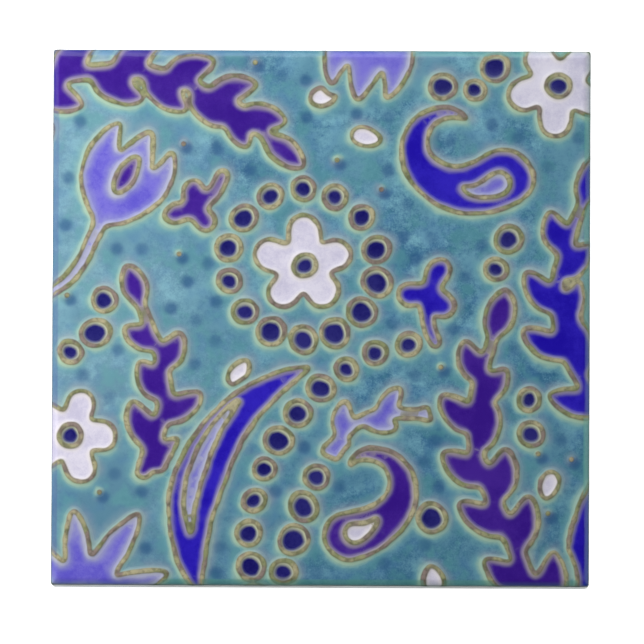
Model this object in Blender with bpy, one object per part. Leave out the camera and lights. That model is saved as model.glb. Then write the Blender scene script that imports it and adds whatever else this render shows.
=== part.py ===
"""A glazed ceramic wall tile, six inches square, dust-pressed and fired as one piece.

Metres, +Z up. The tile lies face up: the origin is the centre of its back, and +Y is the top of the
pattern. The face is flat inside a rolled edge, and the back is keyed with shallow square pockets.
"""

import math

import bmesh
import bpy

# Outline and section of the fired tile
FACE_SIZE = 0.1524
THICKNESS = 0.0090
CORNER_RADIUS = 0.0012
ROLL_WIDTH = 0.0016
ROLL_DROP = 0.0012
BACK_CHAMFER = 0.0005
SMALLEST_RADIUS = 0.0002

# Pockets that key the back to its adhesive
POCKETS_PER_SIDE = 6
BACK_RIM = 0.0090
RIB_WIDTH = 0.0030
POCKET_DEPTH = 0.0008
POCKET_DRAFT = 0.0006
CUTTER_OVERSHOOT = 0.0010

# Facets of each round stretch
CORNER_STEPS = 5
ROLL_STEPS = 6

# Colour of the turquoise glaze, linear
GLAZE_COLOUR = (0.10, 0.30, 0.38, 1.0)
GLAZE_ROUGHNESS = 0.18


def remove_scene_objects():
    for item in list(bpy.data.objects):
        bpy.data.objects.remove(item, do_unlink=True)


def glaze_material():
    material = bpy.data.materials.new("glaze")
    material.use_nodes = True
    shader = material.node_tree.nodes["Principled BSDF"]
    shader.inputs["Base Color"].default_value = GLAZE_COLOUR
    shader.inputs["Roughness"].default_value = GLAZE_ROUGHNESS
    shader.inputs["Metallic"].default_value = 0.0
    return material


def rounded_square(inset):
    """Points of the tile's outline, moved inwards by inset, counter-clockwise seen from above."""
    half = FACE_SIZE / 2 - inset
    radius = max(CORNER_RADIUS - inset, SMALLEST_RADIUS)
    points = []
    for quarter in range(4):
        turn = quarter * math.pi / 2
        cos_turn, sin_turn = round(math.cos(turn)), round(math.sin(turn))
        for step in range(CORNER_STEPS + 1):
            angle = step / CORNER_STEPS * math.pi / 2
            x = half - radius + radius * math.cos(angle)
            y = half - radius + radius * math.sin(angle)
            points.append((x * cos_turn - y * sin_turn, x * sin_turn + y * cos_turn))
    return points


def section():
    """(inset, height) of each ring of the tile, from the back up to the face."""
    rings = [(BACK_CHAMFER, 0.0), (0.0, BACK_CHAMFER)]
    for step in range(ROLL_STEPS + 1):
        angle = step / ROLL_STEPS * math.pi / 2
        inset = ROLL_WIDTH * (1 - math.cos(angle))
        height = THICKNESS - ROLL_DROP * (1 - math.sin(angle))
        rings.append((inset, height))
    return rings


def add_tile_blank():
    """The solid slab: rings of the section joined by side faces, closed by the back and the face."""
    shape = bmesh.new()
    rings = []
    for inset, height in section():
        rings.append([shape.verts.new((x, y, height)) for x, y in rounded_square(inset)])
    for lower, upper in zip(rings, rings[1:]):
        for index in range(len(lower)):
            following = (index + 1) % len(lower)
            shape.faces.new((lower[index], lower[following], upper[following], upper[index]))
    shape.faces.new(reversed(rings[0]))
    shape.faces.new(rings[-1])
    return object_from(shape, "tile")


def add_pocket_cutters():
    """One object holding a tapered block for each pocket, each running out below the back."""
    shape = bmesh.new()
    pitch = (FACE_SIZE - 2 * BACK_RIM + RIB_WIDTH) / POCKETS_PER_SIDE
    half_mouth = (pitch - RIB_WIDTH) / 2
    widen_per_depth = POCKET_DRAFT / POCKET_DEPTH
    levels = (
        (-CUTTER_OVERSHOOT, half_mouth + CUTTER_OVERSHOOT * widen_per_depth),
        (POCKET_DEPTH, half_mouth - POCKET_DRAFT),
    )
    first = -(POCKETS_PER_SIDE - 1) / 2 * pitch
    for row in range(POCKETS_PER_SIDE):
        for column in range(POCKETS_PER_SIDE):
            centre = (first + column * pitch, first + row * pitch)
            add_tapered_block(shape, centre, levels)
    cutters = object_from(shape, "pocket_cutters")
    cutters.hide_render = True
    cutters.display_type = "WIRE"
    return cutters


def add_tapered_block(shape, centre, levels):
    """A square block whose half width changes from the first (height, half width) to the second."""
    corners = ((-1, -1), (1, -1), (1, 1), (-1, 1))
    low, high = (
        [shape.verts.new((centre[0] + x * half, centre[1] + y * half, height)) for x, y in corners]
        for height, half in levels
    )
    for index in range(4):
        following = (index + 1) % 4
        shape.faces.new((low[index], low[following], high[following], high[index]))
    shape.faces.new(reversed(low))
    shape.faces.new(high)


def object_from(shape, name):
    mesh = bpy.data.meshes.new(name)
    shape.to_mesh(mesh)
    shape.free()
    item = bpy.data.objects.new(name, mesh)
    bpy.context.scene.collection.objects.link(item)
    return item


def shade(item):
    """Smooth round stretches, with the flat faces' edges left sharp."""
    item.data.shade_smooth()
    item.data.set_sharp_from_angle(angle=math.radians(30))


def main():
    remove_scene_objects()
    tile = add_tile_blank()
    shade(tile)
    tile.data.materials.append(glaze_material())
    pockets = tile.modifiers.new("back_pockets", "BOOLEAN")
    pockets.operation = "DIFFERENCE"
    pockets.object = add_pocket_cutters()


main()
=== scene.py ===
"""A trailed-line art tile, dressed: raised slip lines, pools of coloured glaze and a pale fired body.

Everything is in the frame of the CAD part, in metres. The drawing on the face is in millimetres from the
face's centre, as if the rolled edge were unrolled flat, so a line can run over the edge.
"""

import math
import random

import bmesh
import bpy
import numpy as np
from mathutils import Matrix, Vector, geometry, kdtree


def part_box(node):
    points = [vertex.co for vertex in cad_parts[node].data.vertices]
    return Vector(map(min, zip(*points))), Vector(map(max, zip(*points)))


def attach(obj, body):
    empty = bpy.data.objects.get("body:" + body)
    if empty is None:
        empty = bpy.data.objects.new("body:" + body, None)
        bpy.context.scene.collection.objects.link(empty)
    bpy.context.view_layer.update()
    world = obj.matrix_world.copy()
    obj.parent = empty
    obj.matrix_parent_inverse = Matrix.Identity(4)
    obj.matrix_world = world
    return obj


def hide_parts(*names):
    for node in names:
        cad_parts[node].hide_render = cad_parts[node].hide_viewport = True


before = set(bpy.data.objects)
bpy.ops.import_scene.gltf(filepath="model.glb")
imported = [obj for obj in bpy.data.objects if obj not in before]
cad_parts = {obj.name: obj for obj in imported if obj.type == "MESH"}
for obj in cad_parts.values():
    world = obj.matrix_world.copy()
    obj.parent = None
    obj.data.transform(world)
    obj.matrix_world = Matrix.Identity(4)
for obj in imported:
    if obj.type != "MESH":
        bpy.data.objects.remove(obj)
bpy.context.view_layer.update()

# The fired body, in millimetres, read from the frame
MM = 0.001
LOW, HIGH = (np.array(corner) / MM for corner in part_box("tile"))
HALF_FACE = (HIGH[0] - LOW[0]) / 2
TOP = HIGH[2]
ROLL_WIDTH = 2.0
ROLL_DROP = 1.2
EDGE_SLOPE = 21.0
FLAT_HALF = HALF_FACE - ROLL_WIDTH
CORNER_POWER = 6.0
GLAZE_LIP = 0.5
MID_WALL = 2.0

# Raised lines and glaze surface, in millimetres
LINE_HALF_WIDTH = 0.70
LINE_HEIGHT = 0.33
LINE_FOOT = 1.05
LEAST_FADE = 0.12
MENISCUS_HEIGHT = 0.16
MENISCUS_REACH = 1.15
POOL_HEIGHT = 0.05
LEAST_GLAZE = 0.02
GHOST_RADIUS = 1.95
GHOST_RINGS = (0.8, 1.4, 1.8, 2.2, 2.7)
GHOST_DEPTH = 0.08
GHOST_CLEAR = 3.5
GHOST_FADE_STEP = 0.09
SPECK_EVERY = 6
SPECK_RADIUS = 0.75
SPECK_RINGS = (0.02, 0.35, 0.7, 1.05)
SPECK_HEIGHT = 0.1
SPECK_OFFSET = (-1.0, 1.3)
EDGE_FADE = 1.9
BLOB_SPACING = 46.0
BLOB_RADIUS = 0.9
BEAD_RADIUS = 3.55
BEAD_RADIUS_CHANGE = 0.5

# Banks that face this side of the face, in degrees from +X, get a stronger pale halo and wash: painted
# light of a lamp on that side
LIT_SIDE = 236.0

# The drawing grid and the mesh that follows it, in millimetres
GRID_STEP = 0.25
GRID_REACH = 79.0
FAR = 99.0
SOFTNESS = 0.8
SOFT_REACH = 8.0
LINE_SPACING = 0.5
CREST_STEP = 0.1
RIM_SPACING = 0.55
RIM_RINGS = 7
RIM_CORNER_STEPS = 5
RIM_MARGIN = 0.1
LEVELS = ((0.22, 0.55), (0.46, 0.55), (0.72, 0.55), (1.0, 0.6), (1.5, 0.8), (2.2, 1.0))
OPEN_SPACING = 1.25
OPEN_ROW_SHARE = 0.87
OPEN_FROM_LINES = 0.8
OPEN_CLEAR = 0.55
CLOSEST_POINTS = 0.17
PASSING_GAP = 3.0
BEAD_GAP = 1.4

# Strokes and the spaces between them, in millimetres and degrees
DROP_STEPS = 48
DROP_TAIL = 0.2
SPRAY_POINTS = 60
SPRAY_TIP = 1.2
SPRAY_SHRINK = 0.38
SPRAY_CURL = 18
STROKE_MARGIN = 6.0
MOTIF_BLEND = 1.6
INLAY_BLEND = 1.0
ROW_POINTS = 400
ROW_SPACING = 9.4
RING_SPACING = 9.6
GHOST_REACH = 73
GHOST_TRIES = 20000

GLAZES = ("turquoise", "white", "cobalt", "violet", "lavender", "navy")


# Strokes: a path with the half width of the brush along it

def curve_through(points, count):
    """Evenly numbered points of a smooth curve through the given ones."""
    given = np.array(points, float)
    given = np.vstack([2 * given[0] - given[1], given, 2 * given[-1] - given[-2]])
    place = np.linspace(0, len(given) - 3, count)
    span = np.minimum(place.astype(int), len(given) - 4)
    u = (place - span)[:, None]
    a, b, c, d = (given[span + k] for k in range(4))
    return 0.5 * (2 * b + (c - a) * u + (2 * a - 5 * b + 4 * c - d) * u**2 + (3 * b - a - 3 * c + d) * u**3)


def walked(start, turns, stride):
    """The path that leaves start and takes one stride along each heading, in degrees."""
    moves = np.stack([np.cos(np.radians(turns)), np.sin(np.radians(turns))], 1) * stride
    return np.vstack([start, np.array(start) + np.cumsum(moves, 0)])


def bent_path(start, heading, length, curl, steps):
    return walked(start, heading + curl * (np.arange(steps) + 0.5) / steps, length / steps)


def leaf(start, heading, length, half_width, curl=0.0, widest=0.42, base=0.1):
    path = bent_path(start, heading, length, curl, 6 + int(length / 1.6))
    share = np.linspace(0, 1, len(path))
    swell = np.where(share < widest, share / widest, (1 - share) / (1 - widest))
    end = np.where(share < widest, base, 0.1)
    return path, end + (half_width - end) * np.sin(np.pi / 2 * swell) ** 0.9


def petal(start, heading, length, half_width):
    """A lobe that widens from a neck to a round end."""
    path = bent_path(start, heading, length, 0.0, 8)
    share = np.linspace(0, 1, len(path))
    return path, half_width * (0.45 + 0.55 * np.sin(np.pi / 2 * share) ** 1.4)


def stem(points, first, last):
    path = curve_through(points, 8 * len(points))
    return path, np.linspace(first, last, len(path))


def drop(start, heading, length, half_width, curl):
    """A paisley drop: a round head whose tail thins and curls over."""
    share = np.linspace(0, 1, DROP_STEPS + 1)
    path = walked(start, heading + curl * share[1:] ** 1.6, length / DROP_STEPS)
    return path, DROP_TAIL + (half_width - DROP_TAIL) * (1 - share**1.15)


def laurel(points, pairs, length, half_width, girth, spread=44):
    """A spray: a stem with pairs of pointed leaves, shorter towards its tip, and one leaf at the tip."""
    path = curve_through(points, SPRAY_POINTS)
    run_x, run_y = np.gradient(path, axis=0).T
    ways = np.degrees(np.arctan2(run_y, run_x))
    strokes = [(path, np.linspace(girth, SPRAY_TIP, SPRAY_POINTS))]
    for pair in range(pairs):
        for side in (-1, 1):
            share = 0.1 + 0.86 * (pair + 0.2 * side) / pairs
            at = int(np.clip(share * (SPRAY_POINTS - 1), 0, SPRAY_POINTS - 1))
            size = 1.0 - SPRAY_SHRINK * share
            way = ways[at] + side * spread
            strokes.append(leaf(path[at], way, length * size, half_width * size**0.5, -side * SPRAY_CURL))
    strokes.append(leaf(path[-3], ways[-1], length * 0.75, half_width * 0.9))
    return strokes


def rosette(centre, petals, reach, half_width, turn):
    return [petal(centre, turn + 360 / petals * k, reach, half_width) for k in range(petals)]


def clover(x, y, reach, turn):
    """Three round leaves on a short curved stem."""
    leaves = rosette((x, y), 3, reach, reach * 0.55, turn)
    return leaves + [(bent_path((x, y), turn + 180, reach * 2.6, 50, 12), np.linspace(1.9, 1.6, 13))]


def tulip(base, heading, size):
    """A cup of three pointed petals, the outer two bending outwards."""
    strokes = [leaf(base, heading, size, size * 0.17, widest=0.5, base=1.5)]
    for side in (-1, 1):
        way = heading + side * 48
        strokes.append(leaf(base, way, size * 1.02, size * 0.15, -side * 62, 0.45, base=1.5))
    return strokes


def leaf_fan(base, heading, leaves, fan, length, half_width):
    """Pointed leaves that open from one base, the middle one longest."""
    strokes = []
    for k in range(leaves):
        side = 2 * k / (leaves - 1) - 1
        size = 1.0 - 0.25 * abs(side)
        way = heading + side * fan / 2
        strokes.append(leaf(base, way, length * size, half_width * size, side * 26, 0.6, base=1.4))
    return strokes


def round_spot(x, y, radius):
    return [(np.array([(x - 0.1, y), (x + 0.1, y)]), np.array([radius, radius]))]


def arc_points(x, y, radius, first, last, count=40):
    angles = np.radians(np.linspace(first, last, count))
    return list(zip(x + radius * np.cos(angles), y + radius * np.sin(angles)))


# The drawing: signed distances on a grid, one layer for each glaze

def hand_wobble(x, y):
    """How far a point of the face looks aside on the drawing, so that no stroke is quite regular."""
    slow_x = 0.45 * np.sin(0.16 * x + 0.9 * np.sin(0.11 * y) + 1.3) * np.cos(0.14 * y + 0.4)
    slow_y = 0.45 * np.sin(0.15 * y + 0.8 * np.sin(0.12 * x) + 0.2) * np.cos(0.17 * x + 1.9)
    quick_x = 0.09 * np.sin(0.71 * y + 0.33 * x + 2.0)
    quick_y = 0.09 * np.sin(0.67 * x - 0.41 * y)
    return slow_x + quick_x, slow_y + quick_y


def softened(values):
    """The same shape with its corners rounded, as slip that flows a little rounds them."""
    reach = int(3 * SOFTNESS / GRID_STEP)
    steps = range(-reach, reach + 1)
    weights = np.exp([-0.5 * (step * GRID_STEP / SOFTNESS) ** 2 for step in steps])
    weights /= weights.sum()
    near = np.minimum(values, SOFT_REACH)
    for axis in (0, 1):
        near = sum(weight * np.roll(near, step, axis) for step, weight in zip(steps, weights))
    return near


class Drawing:
    def __init__(self):
        count = int(2 * GRID_REACH / GRID_STEP) + 1
        self.axis = np.linspace(-GRID_REACH, GRID_REACH, count)
        self.x, self.y = np.meshgrid(self.axis, self.axis)
        aside_x, aside_y = hand_wobble(self.x, self.y)
        self.drawn_x, self.drawn_y = self.x + aside_x, self.y + aside_y
        self.taken = np.full(self.x.shape, FAR)
        self.inlaid = np.full(self.x.shape, FAR)
        self.glazes = {}
        self.inlay_glazes = {}
        self.ghosts = []
        self.specks = []

    def shape_of(self, strokes, blend):
        """Signed distance to the union of strokes, with soft joints."""
        motif = np.full(self.x.shape, FAR)
        for path, radii in strokes:
            reach = radii.max() + STROKE_MARGIN
            low, high = path.min(0) - reach, path.max(0) + reach
            columns = slice(*np.searchsorted(self.axis, (low[0], high[0])))
            rows = slice(*np.searchsorted(self.axis, (low[1], high[1])))
            x, y = self.drawn_x[rows, columns], self.drawn_y[rows, columns]
            if not x.size:
                continue
            shape = np.full(x.shape, FAR)
            for a, b, first, last in zip(path, path[1:], radii, radii[1:]):
                run = b - a
                share = np.clip(((x - a[0]) * run[0] + (y - a[1]) * run[1]) / (run @ run), 0, 1)
                away = np.hypot(x - a[0] - share * run[0], y - a[1] - share * run[1])
                shape = np.minimum(shape, away - first - share * (last - first))
            old = motif[rows, columns]
            overlap = np.clip(blend - np.abs(old - shape), 0, None) / blend
            motif[rows, columns] = np.minimum(old, shape) - overlap**2 * blend / 4
        return motif

    def draw(self, glaze, strokes, gap=PASSING_GAP):
        """Adds a motif, which stops short of what is drawn already, as if it passed behind."""
        motif = softened(np.maximum(self.shape_of(strokes, MOTIF_BLEND), gap - self.taken))
        self.taken = np.minimum(self.taken, motif)
        self.glazes[glaze] = np.minimum(self.glazes.get(glaze, FAR), motif)

    def inlay(self, glaze, strokes):
        """Adds a motif inside one that is drawn already."""
        motif = softened(self.shape_of(strokes, INLAY_BLEND))
        self.inlaid = np.minimum(self.inlaid, motif)
        self.inlay_glazes[glaze] = np.minimum(self.inlay_glazes.get(glaze, FAR), motif)

    def read(self, values, x, y):
        """Values of the grid at points between its samples."""
        u = np.clip((np.asarray(x) + GRID_REACH) / GRID_STEP, 0, len(self.axis) - 1.001)
        v = np.clip((np.asarray(y) + GRID_REACH) / GRID_STEP, 0, len(self.axis) - 1.001)
        i, j = u.astype(int), v.astype(int)
        u, v = u - i, v - j
        low = values[j, i] * (1 - u) + values[j, i + 1] * u
        high = values[j + 1, i] * (1 - u) + values[j + 1, i + 1] * u
        return low * (1 - v) + high * v

    def bead(self, x, y, radius):
        """A ringed dot, where it is clear of what is drawn."""
        if self.read(self.taken, x, y) > radius + BEAD_GAP:
            self.draw("navy", round_spot(x, y, radius), gap=BEAD_GAP)

    def bead_row(self, points, spacing):
        path = curve_through(points, ROW_POINTS)
        gone = np.concatenate([[0], np.cumsum(np.hypot(*np.diff(path, axis=0).T))])
        for k in range(int(gone[-1] / spacing) + 1):
            x, y = path[int(np.interp(k * spacing, gone, np.arange(ROW_POINTS)))]
            self.bead(x, y, BEAD_RADIUS + BEAD_RADIUS_CHANGE * math.sin(2.4 * k + y))

    def ghost_dots(self, wanted, apart, seed):
        """Soft dimples in the open field, some with a speck of slip on their upper left side."""
        chance = random.Random(seed)
        for _ in range(GHOST_TRIES):
            x = chance.uniform(-GHOST_REACH, GHOST_REACH)
            y = chance.uniform(-GHOST_REACH, GHOST_REACH)
            gap = min((math.hypot(x - a, y - b) for a, b in self.ghosts), default=FAR)
            if gap > apart and self.read(self.taken, x, y) > GHOST_CLEAR:
                self.ghosts.append((x, y))
            if len(self.ghosts) == wanted:
                break
        aside, up = SPECK_OFFSET
        self.specks = [(x + aside, y + up) for x, y in self.ghosts[::SPECK_EVERY]]

    def bank_facing(self):
        """How far the ground beside the lines falls away towards the lit side, -1 to 1, for its painted
        light and shade.
        """
        to_line = softened(np.minimum(np.abs(self.taken), np.abs(self.inlaid)))
        up_y, up_x = np.gradient(to_line, GRID_STEP)
        return up_x * math.cos(math.radians(LIT_SIDE)) + up_y * math.sin(math.radians(LIT_SIDE))


BEAD_ROUTES = (
    [(-18, -80), (-20, -58), (-13, -37), (-1, -21), (13, -11), (28, -7)],
    [(34, -66), (30, -46), (33, -20), (48, 10), (54, 24)],
    [(-80, 53), (-62, 59), (-46, 57), (-34, 50)],
    [(66, -60), (60, -34), (59, -8), (56, 12), (62, 24)],
    [(-80, -10), (-66, -8), (-60, 8), (-48, 16)],
    [(34, 66), (46, 66), (52, 80)],
    [(-56, -56), (-48, -64), (-46, -78)],
    [(-10, -72), (-3, -50), (4, -38)],
)


def draw_pattern():
    """Flowers, leaves, drops and beads, in the order in which one passes behind another."""
    d = Drawing()
    for x, y, reach, turn in ((-5, 15, 9.6, 18), (67, 66, 9.6, 50), (-71, -34, 9.0, 0)):
        d.draw("white", rosette((x, y), 5, reach, reach * 0.46, turn))
        d.inlay("navy", round_spot(x, y, 3.2))
    d.draw("cobalt", [leaf((-34, -80), 110, 82, 6.8, -92)])
    d.inlay("lavender", [leaf((-36.6, -64), 97, 48, 2.1, -56)])
    d.draw("cobalt", [drop((52, 40), 205, 56, 8.0, -262)])
    d.inlay("lavender", [drop((50.5, 38.5), 205, 12, 3.2, -60)])
    d.draw("lavender", [*tulip((-62, 28), 62, 29), stem([(-62, 28), (-70, 12), (-86, 2)], 1.7, 1.3)])
    d.inlay("violet", [leaf((-58.5, 35), 62, 13, 2.7)])
    d.draw("violet", laurel([(-88, 67), (-56, 70), (-30, 63), (-14, 50)], 5, 18, 4.3, 2.4))
    d.draw("violet", laurel([(66, -88), (52, -58), (43, -30), (50, -2)], 5, 18, 4.4, 2.4))
    d.draw("cobalt", laurel([(90, -34), (71, -12), (67, 10), (75, 36)], 4, 18, 4.2, 2.3))
    d.draw("violet", [drop((8, -62), 12, 46, 7.0, 240)])
    d.inlay("white", [drop((9.5, -61), 12, 9, 2.8, 60)])
    d.draw("lavender", tulip((17, 90), 256, 29))
    d.draw("cobalt", [leaf((78, -88), 104, 44, 5.4, -30)])
    d.draw("lavender", leaf_fan((-70, -84), 56, 5, 108, 34, 4.0))
    d.draw("violet", laurel([(-50, -44), (-44, -20), (-52, 6)], 3, 15, 3.9, 2.1, spread=50))
    d.draw("lavender", laurel([(2, -38), (14, -28), (30, -27)], 2, 12, 2.9, 1.5, spread=50))
    d.draw("cobalt", clover(31, 8, 6.0, 70))
    d.draw("violet", clover(-37, 31, 5.2, 200))
    for x, y, way in ((-25, -19, 60), (66, -44, 250), (33, -78, 100), (-3, 62, 20), (9, 52, 350)):
        d.draw("white", [leaf((x, y), way, 8.0, 2.8, widest=0.35)], gap=2.4)
    d.bead_row(arc_points(-5, 15, 21.5, 40, 400), RING_SPACING)
    for route in BEAD_ROUTES:
        d.bead_row(route, ROW_SPACING)
    d.ghost_dots(64, 6.8, 5)
    return d


# Contours of the drawing

CELL_LINES = {
    1: ("LB",), 2: ("BR",), 3: ("LR",), 4: ("RT",), 5: ("LB", "RT"), 6: ("BT",), 7: ("LT",),
    8: ("LT",), 9: ("BT",), 10: ("BR", "LT"), 11: ("RT",), 12: ("LR",), 13: ("BR",), 14: ("LB",),
}


def contours(values, axis, level):
    """(points, closed) of each line along which the grid's values pass level, by marching squares."""
    size = len(axis)
    below = values < level
    cases = below[:-1, :-1] + 2 * below[:-1, 1:] + 4 * below[1:, 1:] + 8 * below[1:, :-1]
    index = np.arange(size * size).reshape(size, size)
    upright = size * size
    sides = {
        "B": index[:-1, :-1],
        "T": index[1:, :-1],
        "L": index[:-1, :-1] + upright,
        "R": index[:-1, 1:] + upright,
    }
    links = {}
    for case, lines in CELL_LINES.items():
        here = cases == case
        for first, second in lines:
            for a, b in zip(sides[first][here].tolist(), sides[second][here].tolist()):
                links.setdefault(a, []).append(b)
                links.setdefault(b, []).append(a)

    def crossing(edge):
        row, column = divmod(edge % upright, size)
        next_row, next_column = (row + 1, column) if edge >= upright else (row, column + 1)
        near, far = values[row, column], values[next_row, next_column]
        share = (level - near) / (far - near)
        x = axis[column] + share * (axis[next_column] - axis[column])
        y = axis[row] + share * (axis[next_row] - axis[row])
        return x, y

    found = []
    open_ends = [edge for edge, joined in links.items() if len(joined) == 1]
    for start in open_ends + list(links):
        if start not in links:
            continue
        chain = [start]
        while True:
            following = [edge for edge in links.pop(chain[-1]) if edge in links]
            if not following:
                break
            chain.append(following[0])
        closed = start not in open_ends
        found.append((np.array([crossing(edge) for edge in chain]), closed))
    return found


def resampled(points, closed, spacing):
    """Evenly spaced points along a chain."""
    if closed:
        points = np.vstack([points, points[:1]])
    gone = np.concatenate([[0], np.cumsum(np.hypot(*np.diff(points, axis=0).T))])
    count = max(int(round(gone[-1] / spacing)), 3)
    places = np.linspace(0, gone[-1], count + 1)
    if closed:
        places = places[:-1]
    return np.stack([np.interp(places, gone, points[:, k]) for k in range(2)], 1)


def tree_of(points):
    tree = kdtree.KDTree(len(points))
    for index, (x, y) in enumerate(points):
        tree.insert((x, y, 0.0), index)
    tree.balance()
    return tree


def nearest(points, tree):
    """(number, distance) of the tree's point nearest to each of the given ones."""
    return np.array([tree.find((x, y, 0.0))[1:] for x, y in points]).T


def distances(points, tree):
    return nearest(points, tree)[1]


# The face's plan, cut into triangles that follow its lines

def edge_profile():
    """Arc length, run outwards, drop and outward lean of the rolled edge, down to the glaze's lip.

    The edge bends a little, slopes down nearly straight and then turns over to the wall.
    """
    share = np.linspace(0, 1, 120)
    start = np.clip(share / 0.26, 0, 1)
    bend = EDGE_SLOPE * start**2 * (3 - 2 * start)
    turn = np.clip((share - 0.56) / 0.44, 0, 1) ** 1.3
    lean = np.radians(bend + (90 - EDGE_SLOPE) * turn)
    run = np.concatenate([[0], np.cumsum(np.cos(lean[1:]))])
    fall = np.concatenate([[0], np.cumsum(np.sin(lean[1:]))])
    run *= ROLL_WIDTH / run[-1]
    fall *= ROLL_DROP / fall[-1]
    lean = np.arctan2(np.gradient(fall), np.gradient(run))
    length = np.concatenate([[0], np.cumsum(np.hypot(np.diff(run), np.diff(fall)))])
    return (
        np.append(length, length[-1] + GLAZE_LIP),
        np.append(run, run[-1]),
        np.append(fall, fall[-1] + GLAZE_LIP),
        np.append(lean, lean[-1]),
    )


PROFILE = edge_profile()
EDGE_LENGTH = PROFILE[0][-1]


def over_edge(points):
    """How far past the flat part of the face each point of the drawing lies, and in what direction."""
    past = np.clip(np.abs(points) - FLAT_HALF, 0, None)
    length = (past**CORNER_POWER).sum(1) ** (1 / CORNER_POWER)
    way = np.sign(points) * past / np.maximum(length, 1e-9)[:, None]
    return length, way


def rim_points(length, spacing):
    """The closed line that lies length past the flat part, counter-clockwise from the right side's foot."""
    count = int(2 * FLAT_HALF / spacing)
    straight = np.linspace(-FLAT_HALF, FLAT_HALF, count + 1)
    side = np.stack([np.full(count + 1, FLAT_HALF + length), straight], 1)
    turns = np.arange(1, RIM_CORNER_STEPS) / RIM_CORNER_STEPS * np.pi / 2
    corner = np.stack([np.cos(turns), np.sin(turns)], 1) ** (2 / CORNER_POWER) * length + FLAT_HALF
    quarter = np.vstack([side, corner])
    quarters = []
    for _ in range(4):
        quarters.append(quarter)
        quarter = np.stack([-quarter[:, 1], quarter[:, 0]], 1)
    return np.vstack(quarters)


def inside_rim(points):
    return over_edge(points)[0] < EDGE_LENGTH - RIM_MARGIN


def fixed_lines(crests):
    """(points, edges) of the rim and the crest lines, which the triangles have to follow."""
    rim = rim_points(EDGE_LENGTH, LINE_SPACING)
    used = len(rim)
    fixed = [rim]
    edges = [(k, (k + 1) % used) for k in range(used)]
    for chain, closed in crests:
        line = resampled(chain, closed, LINE_SPACING)
        kept = inside_rim(line)
        numbers = np.where(kept, used + np.cumsum(kept) - 1, -1)
        pairs = list(zip(numbers, numbers[1:]))
        if closed:
            pairs.append((numbers[-1], numbers[0]))
        edges += [(int(a), int(b)) for a, b in pairs if a >= 0 and b >= 0]
        fixed.append(line[kept])
        used += int(kept.sum())
    return np.vstack(fixed), edges


def bank_points(drawing):
    """Points along level lines on both sides of each crest line."""
    banks = []
    for values in (drawing.taken, drawing.inlaid):
        for level, spacing in LEVELS:
            for signed in (level, -level):
                for chain, closed in contours(values, drawing.axis, signed):
                    banks.append(resampled(chain, closed, spacing))
    return banks


def open_points(drawing):
    """Points in staggered rows, away from the lines."""
    rows = np.arange(-HALF_FACE, HALF_FACE, OPEN_SPACING * OPEN_ROW_SHARE)
    columns = np.arange(-HALF_FACE, HALF_FACE, OPEN_SPACING)
    field = np.array([(x + OPEN_SPACING / 2 * (k % 2), y) for k, y in enumerate(rows) for x in columns])
    to_taken = np.abs(drawing.read(drawing.taken, *field.T))
    to_inlaid = np.abs(drawing.read(drawing.inlaid, *field.T))
    return field[np.minimum(to_taken, to_inlaid) > OPEN_FROM_LINES]


def loose_points(drawing):
    """Points that the triangles may use, and how far each keeps from those before it."""
    lengths = np.linspace(0, EDGE_LENGTH, RIM_RINGS + 1)[:-1]
    rings = [rim_points(length, RIM_SPACING) for length in lengths]
    specks = [arc_points(x, y, radius, 0, 315, 8) for x, y in drawing.specks for radius in SPECK_RINGS]
    ghosts = [arc_points(x, y, radius, 0, 337.5, 16) for x, y in drawing.ghosts for radius in GHOST_RINGS]
    field = open_points(drawing)
    loose = np.vstack(rings + bank_points(drawing) + specks + ghosts + [field])
    clear = np.full(len(loose), CLOSEST_POINTS)
    clear[-len(field):] = OPEN_CLEAR
    inside = inside_rim(loose)
    return loose[inside], clear[inside]


def thinned(fixed, loose, clear):
    """The fixed points, and each loose one that is clear of those kept before it."""
    everything = np.vstack([fixed, loose])
    tree = tree_of(everything)
    kept = np.ones(len(everything), bool)
    for index, reach in enumerate(clear, len(fixed)):
        x, y = everything[index]
        for _, other, _ in tree.find_range((x, y, 0.0), reach):
            if other < index and kept[other]:
                kept[index] = False
                break
    return everything[kept]


def triangulated(drawing):
    """(points, triangles, crest lines) of the unrolled face."""
    crests = []
    for values in (drawing.taken, drawing.inlaid):
        crests += contours(values, drawing.axis, 0.0)
    fixed, edges = fixed_lines(crests)
    points = thinned(fixed, *loose_points(drawing))
    found = geometry.delaunay_2d_cdt([Vector(p) for p in points], edges, [], 0, 1e-6, False)
    points = np.array([tuple(p) for p in found[0]])
    return points, np.array(found[2]), [resampled(chain, closed, CREST_STEP) for chain, closed in crests]


# Heights of the glazed surface

def sway(x, y, size, seed):
    """A smooth value from about -1 to 1 that changes over size millimetres."""
    chance = random.Random(seed)
    total = 0.0
    for _ in range(5):
        angle, phase = chance.uniform(0, math.tau), chance.uniform(0, math.tau)
        pitch = math.tau / (size * chance.uniform(0.8, 1.6))
        total = total + np.sin(pitch * (x * math.cos(angle) + y * math.sin(angle)) + phase)
    return total / 3.2


def blob_swell(points, crests):
    """The share of a blob that each point has, where the slip was trailed too slowly."""
    stride = int(BLOB_SPACING / CREST_STEP)
    blobs = np.vstack([line[::stride] for line in crests])
    return np.exp(-((distances(points, tree_of(blobs)) / BLOB_RADIUS) ** 2))


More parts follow.
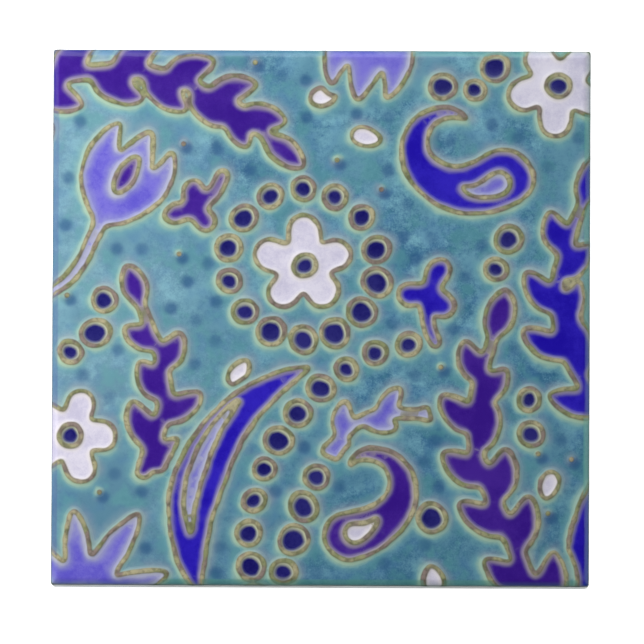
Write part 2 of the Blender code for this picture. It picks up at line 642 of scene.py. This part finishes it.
def line_shape(points, crests, fade):
    """Distance past the lines' half width, and the heights of the lines and of the glaze between them."""
    x, y = points.T
    to_line = distances(points, tree_of(np.vstack(crests)))
    swell = blob_swell(points, crests)
    wide = LINE_HALF_WIDTH * (1 + 0.17 * sway(x, y, 16, 3) + 0.09 * sway(x, y, 3, 4) + 0.28 * swell)
    high = LINE_HEIGHT * (1 + 0.12 * sway(x, y, 14, 5) + 0.22 * swell) * fade
    across = np.clip(to_line / wide * LINE_HALF_WIDTH / LINE_FOOT, 0, 1)
    line = high * (0.5 + 0.5 * np.cos(np.pi * across)) ** 0.85
    bank = np.clip(to_line - wide * 0.75, 0, None)
    glaze = POOL_HEIGHT + MENISCUS_HEIGHT * fade * np.exp(-bank / MENISCUS_REACH)
    glaze = glaze + 0.022 * sway(x, y, 11, 6) + 0.010 * sway(x, y, 3.5, 7)
    return to_line - wide, line, glaze * (1 - np.clip(1 - across * 1.2, 0, 1))


def rolled_over(points, length, way, height):
    """Places in metres of points of the drawing that stand height above the fired body."""
    run, fall, lean = (np.interp(length, PROFILE[0], PROFILE[k]) for k in (1, 2, 3))
    flat = np.clip(points, -FLAT_HALF, FLAT_HALF)
    plan = flat + way * (run + height * np.sin(lean))[:, None]
    up = TOP - fall + height * np.cos(lean)
    return np.column_stack([plan, up]) * MM


def surface(points, crests, drawing):
    """The position of each point, in metres, and its four values for the glaze.

    They are the millimetres from a line's foot, how far the bank faces the lit side, which sets its painted
    light and shade, and the shares of a ghost dot and of the rolled edge.
    """
    length, way = over_edge(points)
    edge = length / EDGE_LENGTH
    beyond, line, glaze = line_shape(points, crests, np.clip(1 - length / EDGE_FADE, LEAST_FADE, 1))
    number, to_ghost = nearest(points, tree_of(np.array(drawing.ghosts)))
    strength = 1 - GHOST_FADE_STEP * (number % SPECK_EVERY)
    ghost = np.exp(-((to_ghost / GHOST_RADIUS) ** 4)) * strength
    to_speck = distances(points, tree_of(np.array(drawing.specks)))
    speck = np.exp(-((to_speck / SPECK_RADIUS) ** 2))
    covered = np.maximum(glaze * np.clip(1.4 - edge, 0.4, 1), LEAST_GLAZE)
    height = line + covered - GHOST_DEPTH * ghost + SPECK_HEIGHT * speck
    foot = np.minimum(beyond, 1.4 * (to_speck - SPECK_RADIUS))
    # How far each bank faces the lit side, from which the glazes paint light and shade
    lit_facing = drawing.read(drawing.bank_facing(), *points.T)
    return rolled_over(points, length, way, height), foot, lit_facing, ghost, edge


def glaze_of(middles, drawing):
    """The number of the glaze that each point of the drawing has."""
    number = np.zeros(len(middles), int)
    for layers in (drawing.glazes, drawing.inlay_glazes):
        for glaze, values in layers.items():
            number[drawing.read(values, *middles.T) < 0] = GLAZES.index(glaze)
    return number


def carried_over_back():
    """(points, faces) of the frame's back and chamfer, and the numbers of their open border in order."""
    shape = bmesh.new()
    shape.from_mesh(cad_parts["tile"].data)
    bmesh.ops.remove_doubles(shape, verts=shape.verts, dist=1e-6)
    above = [vertex for vertex in shape.verts if vertex.co.z > MID_WALL * MM]
    bmesh.ops.delete(shape, geom=above, context="VERTS")
    shape.verts.index_update()
    points = np.array([tuple(vertex.co) for vertex in shape.verts])
    faces = [[vertex.index for vertex in face.verts] for face in shape.faces]
    border = {vertex.index for edge in shape.edges if edge.is_boundary for vertex in edge.verts}
    shape.free()
    return points, faces, sorted(border, key=lambda k: math.atan2(points[k][1], points[k][0]))


def walls(rim, border, points):
    """Faces between the lip's points and the chamfer's, both counter-clockwise."""
    def along(numbers):
        turn = np.arctan2(points[numbers, 1], points[numbers, 0])
        return np.unwrap(turn)

    upper, lower = along(rim), along(border)
    first = int(np.argmin(np.abs((upper - lower[0] + np.pi) % math.tau - np.pi)))
    rim = np.roll(rim, -first)
    upper = along(rim)
    upper = upper + round((lower[0] - upper[0]) / math.tau) * math.tau
    cuts = [int(np.argmin(np.abs(upper - turn))) for turn in lower] + [len(rim)]
    faces = []
    for k, number in enumerate(border):
        following = border[(k + 1) % len(border)]
        top = [int(rim[i % len(rim)]) for i in range(cuts[k], cuts[k + 1] + 1)]
        faces.append([number, following, *reversed(top)])
    return faces


def add_tile(drawing):
    """The whole fired tile as one closed mesh."""
    points, triangles, crests = triangulated(drawing)
    place, bank, lit_facing, ghost, edge = surface(points, crests, drawing)
    slots = glaze_of(points[triangles].mean(1), drawing)
    count = len(points)
    back_points, back_faces, border = carried_over_back()
    outline = [k for k in range(count) if edge[k] > 0.9999]
    outline.sort(key=lambda k: math.atan2(points[k][1], points[k][0]))
    everywhere = np.vstack([place, back_points])
    border = [k + count for k in border]
    wall_faces = walls(np.array(outline), border, everywhere)
    lower = [[k + count for k in face] for face in back_faces]
    mesh = bpy.data.meshes.new("glazed_tile")
    mesh.from_pydata(everywhere.tolist(), [], triangles.tolist() + wall_faces + lower)
    extra = len(back_points)
    marks = (("bank", bank, 9.0), ("lit_facing", lit_facing, 0.0), ("ghost", ghost, 0.0), ("edge", edge, 1.2))
    for name, values, outside in marks:
        attribute = mesh.attributes.new(name, "FLOAT", "POINT")
        whole = np.concatenate([values, np.full(extra, outside)]).astype(np.float32)
        attribute.data.foreach_set("value", whole)
    for glaze in GLAZES:
        mesh.materials.append(glaze_material(glaze))
    mesh.materials.append(body_material())
    rest = len(wall_faces) + len(lower)
    numbers = np.concatenate([slots, np.full(rest, len(GLAZES))]).astype(np.int32)
    mesh.polygons.foreach_set("material_index", numbers)
    smooth = np.concatenate([np.ones(len(triangles), bool), np.zeros(rest, bool)])
    mesh.polygons.foreach_set("use_smooth", smooth)
    mesh.validate()
    tile = bpy.data.objects.new("glazed_tile", mesh)
    bpy.context.scene.collection.objects.link(tile)
    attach(tile, "root")
    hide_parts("tile")
    return tile


# Materials

def srgb(red, green, blue):
    """Linear colour from the usual 0 to 255 values."""
    shares = (value / 255 for value in (red, green, blue))
    linear = [s / 12.92 if s <= 0.04045 else ((s + 0.055) / 1.055) ** 2.4 for s in shares]
    return (*linear, 1.0)


def put(tree, socket, value):
    if isinstance(value, bpy.types.NodeSocket):
        tree.links.new(value, socket)
    else:
        socket.default_value = value


def node(tree, kind, inputs=(), **settings):
    made = tree.nodes.new("ShaderNode" + kind)
    for name, value in settings.items():
        setattr(made, name, value)
    for name, value in dict(inputs).items():
        put(tree, made.inputs[name], value)
    return made


def maths(tree, operation, a, b=0.0, c=0.0):
    return node(tree, "Math", {0: a, 1: b, 2: c}, operation=operation).outputs[0]


def rise(tree, value, low, high):
    """0 below low, 1 above high, and smooth between."""
    inputs = {"Value": value, "From Min": low, "From Max": high}
    return node(tree, "MapRange", inputs, interpolation_type="SMOOTHSTEP").outputs["Result"]


def falling(tree, value, low, high):
    """1 below low, 0 above high, and smooth between."""
    return maths(tree, "SUBTRACT", 1.0, rise(tree, value, low, high))


def mixed(tree, share, a, b):
    made = node(tree, "Mix", data_type="RGBA")
    put(tree, made.inputs[0], share)
    put(tree, made.inputs[6], a)
    put(tree, made.inputs[7], b)
    return made.outputs[2]


def patched(tree, base, share, strength, patch):
    """base, with as much of patch over it as share times strength."""
    return mixed(tree, maths(tree, "MULTIPLY", share, strength), base, patch)


def noise(tree, place, size, detail=2.0, roughness=0.5, shift=0.0):
    """Noise of about 0 to 1 whose spots are size millimetres across."""
    moved = node(tree, "Mapping", {"Vector": place, "Location": (shift, shift * 0.7, -shift)}).outputs[0]
    inputs = {"Vector": moved, "Scale": 0.6 / (size * MM), "Detail": detail, "Roughness": roughness}
    return node(tree, "TexNoise", inputs).outputs[0]


def attribute(tree, name):
    return node(tree, "Attribute", attribute_name=name).outputs["Fac"]


def fresh_tree(name):
    material = bpy.data.materials.new(name)
    material.use_nodes = True
    tree = material.node_tree
    tree.nodes.clear()
    return material, tree


def finish_tree(tree, colour, roughness, height, depth):
    """The shader and its output. depth is the bump's full height in millimetres."""
    bump = node(tree, "Bump", {"Strength": 1.0, "Distance": depth * MM, "Height": height}).outputs[0]
    shader = node(tree, "BsdfPrincipled", {"Base Color": colour, "Roughness": roughness, "Normal": bump})
    node(tree, "OutputMaterial", {"Surface": shader.outputs[0]})


SLIP_OCHRE = srgb(176, 167, 133)
SLIP_OLIVE = srgb(136, 140, 98)
# Mauve of random patches, with more of it on the side away from the lit side as painted shade; brown of
# specks and of the line's foot, which is painted shade
SLIP_MAUVE_AND_SHADE = srgb(137, 121, 113)
SLIP_BROWN_AND_SHADE = srgb(72, 68, 52)
# Blue of the edge's left half and left side: painted reflection; darker green of its lower side: painted
# shade
RIM_LEFT_REFLECTION = srgb(62, 82, 133)
RIM_REFLECTION_BLUE = srgb(89, 130, 174)
RIM_GREEN = srgb(116, 184, 172)
RIM_BOTTOM_SHADE = srgb(92, 156, 140)
# Dark band where the edge turns under: painted shade of the lip
SHADED_LIP = srgb(44, 66, 56)
BISCUIT = srgb(200, 206, 207)
BISCUIT_DARK = srgb(185, 188, 186)
PORE = srgb(150, 146, 140)
# Paler ground on the left, which is painted light, and deep ground for random patches that also darkens the
# bottom as painted shade
FIELD_PAINTED_LIGHT = srgb(148, 184, 194)
FIELD_DEEP_AND_SHADE = srgb(48, 98, 130)
FIELD_BLUE = srgb(74, 120, 166)
FIELD_GREEN = srgb(104, 168, 164)
# Grey of the ground's wash on banks that face away from the lit side: painted shade
FIELD_SHADE_GREY = srgb(134, 146, 162)
GHOST_COLOUR = srgb(42, 84, 130)
BODY_ROUGHNESS = 0.85

# Depth of the bumps, and how far the left edge's painted reflection and the lower edge's painted shade
# blend past where the edge starts to fall, in millimetres
GLAZE_BUMP = 0.10
BODY_BUMP = 0.12
RIM_OUTSIDE = 0.2
RIM_INSIDE = 0.4

# Where the thin glaze of the edge starts and is full, as shares of the edge's length, and its strength
RIM_ON_GROUND = (0.0, 0.22, 0.5)
RIM_ON_MOTIFS = (0.1, 0.75, 0.25)

# Colours of each glaze: deep, pale, a wash near the lines and a halo beside them. Below them are the widths
# of the wash and the halo in millimetres, how far both wander, and the halo's strength with its change
# towards the lit side, which is painted light
LOOKS = {
    "turquoise": (
        srgb(46, 97, 134), srgb(124, 176, 192), srgb(112, 165, 169), srgb(198, 214, 168),
        3.5, 1.9, 4.0, 0.52, 0.34,
    ),
    "white": (
        srgb(196, 190, 213), srgb(222, 216, 230), srgb(226, 219, 224), srgb(218, 210, 204),
        1.6, 0.9, 0.5, 0.8, 0.0,
    ),
    "cobalt": (
        srgb(28, 8, 164), srgb(46, 30, 184), srgb(70, 52, 166), srgb(178, 170, 164),
        1.9, 1.6, 1.6, 0.92, 0.06,
    ),
    "violet": (
        srgb(54, 18, 134), srgb(68, 32, 146), srgb(94, 66, 148), srgb(180, 170, 160),
        2.0, 1.6, 1.6, 0.92, 0.06,
    ),
    "lavender": (
        srgb(94, 84, 198), srgb(120, 112, 206), srgb(152, 154, 190), srgb(206, 208, 192),
        3.2, 1.8, 3.0, 0.56, 0.3,
    ),
    "navy": (
        srgb(15, 10, 94), srgb(40, 38, 114), srgb(58, 58, 116), srgb(212, 216, 176),
        1.1, 1.1, 1.9, 0.78, 0.4,
    ),
}

# Size in millimetres, detail, roughness and shift of each noise that the glazes share
NOISES = {
    "broad": (13, 2, 0.5, 0.3),
    "patches": (5.0, 3, 0.6, 0.9),
    "spots": (3.2, 1, 0.5, 3.1),
    "coarse": (1.5, 1, 0.5, 4.4),
    "fine": (0.8, 2, 0.6, 1.7),
    "grain": (0.3, 2, 0.7, 2.6),
}


def readings(tree):
    """The noises, the places across and along the face in metres, and the mesh's values, by name."""
    place = node(tree, "TexCoord").outputs["Object"]
    read = {name: noise(tree, place, *settings) for name, settings in NOISES.items()}
    sides = node(tree, "SeparateXYZ", {"Vector": place}).outputs
    read["across"], read["along"] = sides["X"], sides["Y"]
    for name in ("bank", "lit_facing", "edge"):
        read[name] = attribute(tree, name)
    return read


def pool_colour(tree, read, glaze, deep, pale):
    """A pool's own colour, clouded. The turquoise ground is also painted paler on the left and darker
    towards the bottom: painted light and shade.
    """
    blotch = maths(tree, "MULTIPLY_ADD", read["patches"], 0.5, maths(tree, "MULTIPLY", read["broad"], 0.5))
    blotch = maths(tree, "MULTIPLY_ADD", read["fine"], 0.2, blotch)
    blotch = maths(tree, "MULTIPLY_ADD", read["grain"], 0.2, blotch)
    colour = mixed(tree, rise(tree, blotch, 0.56, 0.84), deep, pale)
    if glaze != "turquoise":
        return colour
    # Paler towards the left and darker towards the bottom: painted light and shade
    lit_left = falling(tree, read["across"], -0.07, 0.0)
    below = falling(tree, read["along"], -0.07, 0.0)
    colour = patched(tree, colour, lit_left, 0.44, FIELD_PAINTED_LIGHT)
    colour = patched(tree, colour, below, 0.36, FIELD_DEEP_AND_SHADE)
    colour = patched(tree, colour, rise(tree, read["broad"], 0.44, 0.62), 0.5, FIELD_DEEP_AND_SHADE)
    colour = patched(tree, colour, rise(tree, read["spots"], 0.44, 0.7), 0.3, FIELD_BLUE)
    return patched(tree, colour, falling(tree, read["patches"], 0.34, 0.52), 0.4, FIELD_GREEN)


def bank_colour(tree, read, glaze, colour):
    """colour, with the wash and the halo where the glaze runs thin up the foot of a line. Both are painted
    wider and stronger on banks that face the lit side, as painted light, and the ground's wash is painted
    grey on the other banks, as painted shade.
    """
    wash, halo, wash_width, halo_width, wander, strength, lean = LOOKS[glaze][2:]
    patches, lit_facing = read["patches"], read["lit_facing"]
    # The ground's wash turns grey on banks that face away from the lit side: painted shade
    if glaze == "turquoise":
        wash = mixed(tree, rise(tree, lit_facing, -0.7, 0.4), FIELD_SHADE_GREY, wash)
    wandering = maths(tree, "MULTIPLY_ADD", patches, -wander, wander / 2)
    # Wash and halo reach further and show more on banks that face the lit side: painted light
    away = maths(tree, "MULTIPLY_ADD", lit_facing, -0.3, maths(tree, "ADD", read["bank"], wandering))
    wash_share = maths(tree, "MULTIPLY_ADD", lit_facing, 0.12, 0.68)
    colour = patched(tree, colour, falling(tree, away, 0.0, wash_width), wash_share, wash)
    halo_share = maths(tree, "POWER", falling(tree, away, -0.4 * halo_width, halo_width), 1.3)
    uneven = maths(tree, "MULTIPLY_ADD", rise(tree, patches, 0.36, 0.64), -0.6, 1.3)
    halo_share = maths(tree, "MULTIPLY", halo_share, uneven)
    # The halo is painted stronger on banks that face the lit side: painted light
    return patched(tree, colour, halo_share, maths(tree, "MULTIPLY_ADD", lit_facing, lean, strength), halo)


def slip_colour(tree, read):
    """Ochre that turns olive or mauve every few millimetres, more often mauve on the side away from the lit
    side as painted shade, browner at its foot as painted shade, with brown specks.
    """
    tone = mixed(tree, rise(tree, read["patches"], 0.42, 0.62), SLIP_OCHRE, SLIP_OLIVE)
    # More mauve on the side away from the lit side: painted shade
    shaded = maths(tree, "MULTIPLY_ADD", read["lit_facing"], -0.1, read["spots"])
    tone = mixed(tree, rise(tree, shaded, 0.48, 0.66), tone, SLIP_MAUVE_AND_SHADE)
    # Browner towards the line's foot: painted shade
    tone = patched(tree, tone, rise(tree, read["bank"], -0.55, 0.1), 0.46, SLIP_BROWN_AND_SHADE)
    tone = patched(tree, tone, rise(tree, read["fine"], 0.48, 0.7), 0.42, SLIP_BROWN_AND_SHADE)
    return patched(tree, tone, rise(tree, read["coarse"], 0.46, 0.7), 0.5, SLIP_BROWN_AND_SHADE)


def edge_colour(tree, read, glaze, colour):
    """colour, with the thin glaze on the rolled edge, blue on its left half and left side as painted
    reflection and darker at the lower side as painted shade, its lip darkened as painted shade, and the
    bare body below.
    """
    across, along, edge = read["across"], read["along"], read["edge"]
    foot = -FLAT_HALF * MM
    outer, inner = foot - RIM_OUTSIDE * MM, foot + RIM_INSIDE * MM
    # Blue on the left half of the edge: painted reflection
    rim = mixed(tree, rise(tree, across, -0.05, 0.07), RIM_REFLECTION_BLUE, RIM_GREEN)
    # Deeper blue on the left side, a painted reflection, and darker green on the lower side, which is
    # painted shade
    rim = mixed(tree, falling(tree, across, outer, inner), rim, RIM_LEFT_REFLECTION)
    rim = mixed(tree, falling(tree, along, outer, inner), rim, RIM_BOTTOM_SHADE)
    start, full, strength = RIM_ON_GROUND if glaze == "turquoise" else RIM_ON_MOTIFS
    colour = patched(tree, colour, rise(tree, edge, start, full), strength, rim)
    # The edge darkens where it turns under: painted shade of the lip
    colour = patched(tree, colour, rise(tree, edge, 0.55, 0.76), 0.85, SHADED_LIP)
    bare = rise(tree, maths(tree, "MULTIPLY_ADD", read["patches"], 0.2, edge), 1.03, 1.08)
    return mixed(tree, bare, colour, BISCUIT)


def glaze_roughness(tree, read, slip):
    """Glossy pools, satin beside and on the lines, and a dull lip."""
    near_line = maths(tree, "MULTIPLY", falling(tree, read["bank"], 0.3, 1.8), 0.14)
    pool = maths(tree, "MULTIPLY_ADD", read["broad"], 0.1, 0.13)
    roughness = maths(tree, "ADD", maths(tree, "MULTIPLY_ADD", slip, 0.24, pool), near_line)
    return maths(tree, "MULTIPLY_ADD", rise(tree, read["edge"], 0.5, 0.7), 0.4, roughness)


def glaze_material(glaze):
    """One glaze pool with the lines round it. The mesh says how far each point is from a line's foot."""
    deep, pale = LOOKS[glaze][:2]
    material, tree = fresh_tree(glaze + "_glaze")
    read = readings(tree)
    colour = pool_colour(tree, read, glaze, deep, pale)
    colour = bank_colour(tree, read, glaze, colour)
    if glaze == "turquoise":
        colour = patched(tree, colour, attribute(tree, "ghost"), 0.8, GHOST_COLOUR)
    ragged = maths(tree, "MULTIPLY_ADD", read["coarse"], 0.34, read["bank"])
    slip = falling(tree, ragged, -0.14, 0.42)
    colour = mixed(tree, slip, colour, slip_colour(tree, read))
    colour = edge_colour(tree, read, glaze, colour)
    gritty = maths(tree, "MULTIPLY", maths(tree, "MULTIPLY", read["grain"], slip), 0.5)
    bumps = maths(tree, "MULTIPLY_ADD", read["fine"], 0.12, gritty)
    finish_tree(tree, colour, glaze_roughness(tree, read, slip), bumps, GLAZE_BUMP)
    return material


def body_material():
    """Pale fired clay with fine pores."""
    material, tree = fresh_tree("fired_body")
    place = node(tree, "TexCoord").outputs["Object"]
    broad = noise(tree, place, 9, 3, 0.6, 0.4)
    grain = noise(tree, place, 0.5, 3, 0.65, 1.1)
    pores = noise(tree, place, 0.6, 1, 0.4, 2.3)
    colour = mixed(tree, rise(tree, broad, 0.35, 0.65), BISCUIT, BISCUIT_DARK)
    colour = patched(tree, colour, rise(tree, pores, 0.6, 0.74), 0.4, PORE)
    finish_tree(tree, colour, BODY_ROUGHNESS, grain, BODY_BUMP)
    return material


# Floor, light and camera

FLOOR_SIZE = 6.0
FLOOR_GAP = 0.0001
FLOOR_GREY = 0.7
FLOOR_GLOW = 0.85
WORLD_GLOW = 0.05
CAMERA_LENS = 1400.0
CAMERA_SENSOR = 36.0
FRAME_PIXELS = 644
FACE_PIXELS = 537.5
FACE_CENTRE_PIXEL = (320.97, 317.56)
CAMERA_TILT = 5.25
CAMERA_ROLL = 0.25


def floor_material():
    material, tree = fresh_tree("pale_floor")
    inputs = {
        "Base Color": (FLOOR_GREY, FLOOR_GREY, FLOOR_GREY, 1),
        "Roughness": 0.9,
        "Emission Color": (1, 1, 1, 1),
        "Emission Strength": FLOOR_GLOW,
    }
    shader = node(tree, "BsdfPrincipled", inputs)
    node(tree, "OutputMaterial", {"Surface": shader.outputs[0]})
    return material


def add_floor():
    """A level floor, a hair below the tile, that glows so that it stays as pale as a studio sweep."""
    half = FLOOR_SIZE / 2
    mesh = bpy.data.meshes.new("floor")
    corners = [(x * half, y * half, -FLOOR_GAP) for x, y in ((-1, -1), (1, -1), (1, 1), (-1, 1))]
    mesh.from_pydata(corners, [], [(0, 1, 2, 3)])
    mesh.materials.append(floor_material())
    floor = bpy.data.objects.new("floor", mesh)
    bpy.context.scene.collection.objects.link(floor)


def add_light(name, place, size, power, colour, mirrored=True):
    """A square softbox that faces the tile. The rolled edge would mirror a low one as a white line."""
    light = bpy.data.lights.new(name, "AREA")
    light.shape = "SQUARE"
    light.size = size
    light.energy = power
    light.color = colour
    item = bpy.data.objects.new(name, light)
    item.location = place
    item.rotation_euler = (Vector((0, 0, TOP * MM)) - Vector(place)).to_track_quat("-Z", "Y").to_euler()
    item.visible_camera = False
    item.visible_glossy = mirrored
    bpy.context.scene.collection.objects.link(item)


def add_world(strength):
    world = bpy.data.worlds.new("studio")
    world.use_nodes = True
    background = world.node_tree.nodes["Background"]
    background.inputs["Color"].default_value = (1, 1, 1, 1)
    background.inputs["Strength"].default_value = strength
    bpy.context.scene.world = world


def add_camera():
    """A long lens that looks down on the face, a little from its lower edge."""
    camera = bpy.data.cameras.new("camera")
    camera.lens = CAMERA_LENS
    camera.sensor_width = CAMERA_SENSOR
    pixel = 2 * HALF_FACE * MM / FACE_PIXELS
    distance = FRAME_PIXELS * pixel * CAMERA_LENS / CAMERA_SENSOR
    camera.clip_end = distance * 3
    tilt, roll = math.radians(CAMERA_TILT), math.radians(CAMERA_ROLL)
    back = Vector((0, -math.sin(tilt), math.cos(tilt)))
    up = Vector((0, math.cos(tilt), math.sin(tilt)))
    right = Vector((1, 0, 0))
    half = FRAME_PIXELS / 2
    aside = right * (half - FACE_CENTRE_PIXEL[0]) + up * (FACE_CENTRE_PIXEL[1] - half)
    aim = Vector((0, 0, TOP * MM)) + aside * pixel
    item = bpy.data.objects.new("camera", camera)
    bpy.context.scene.collection.objects.link(item)
    item.location = aim + back * distance
    turned_right = right * math.cos(roll) + up * math.sin(roll)
    turned_up = up * math.cos(roll) - right * math.sin(roll)
    axes = (turned_right, turned_up, back)
    item.rotation_euler = Matrix(axes).transposed().to_euler()
    bpy.context.scene.camera = item


def main():
    add_tile(draw_pattern())
    add_floor()
    add_world(WORLD_GLOW)
    add_light("key", (-0.33, 0.14, 0.30), 0.14, 2.05, (1.0, 0.98, 0.97), mirrored=False)
    add_light("overhead", (-0.30, 0.25, 1.00), 0.50, 0.7, (0.96, 0.98, 1.0), mirrored=False)
    add_light("fill_top", (0.05, 0.60, 0.85), 0.70, 3.45, (0.84, 0.95, 1.0))
    add_light("fill_left", (-0.75, 0.10, 0.78), 0.60, 0.8, (0.80, 0.90, 1.0))
    add_light("fill_right", (0.70, 0.0, 0.45), 0.50, 0.9, (0.92, 1.0, 0.88))
    add_camera()
    bpy.context.scene.view_settings.view_transform = "Standard"


main()
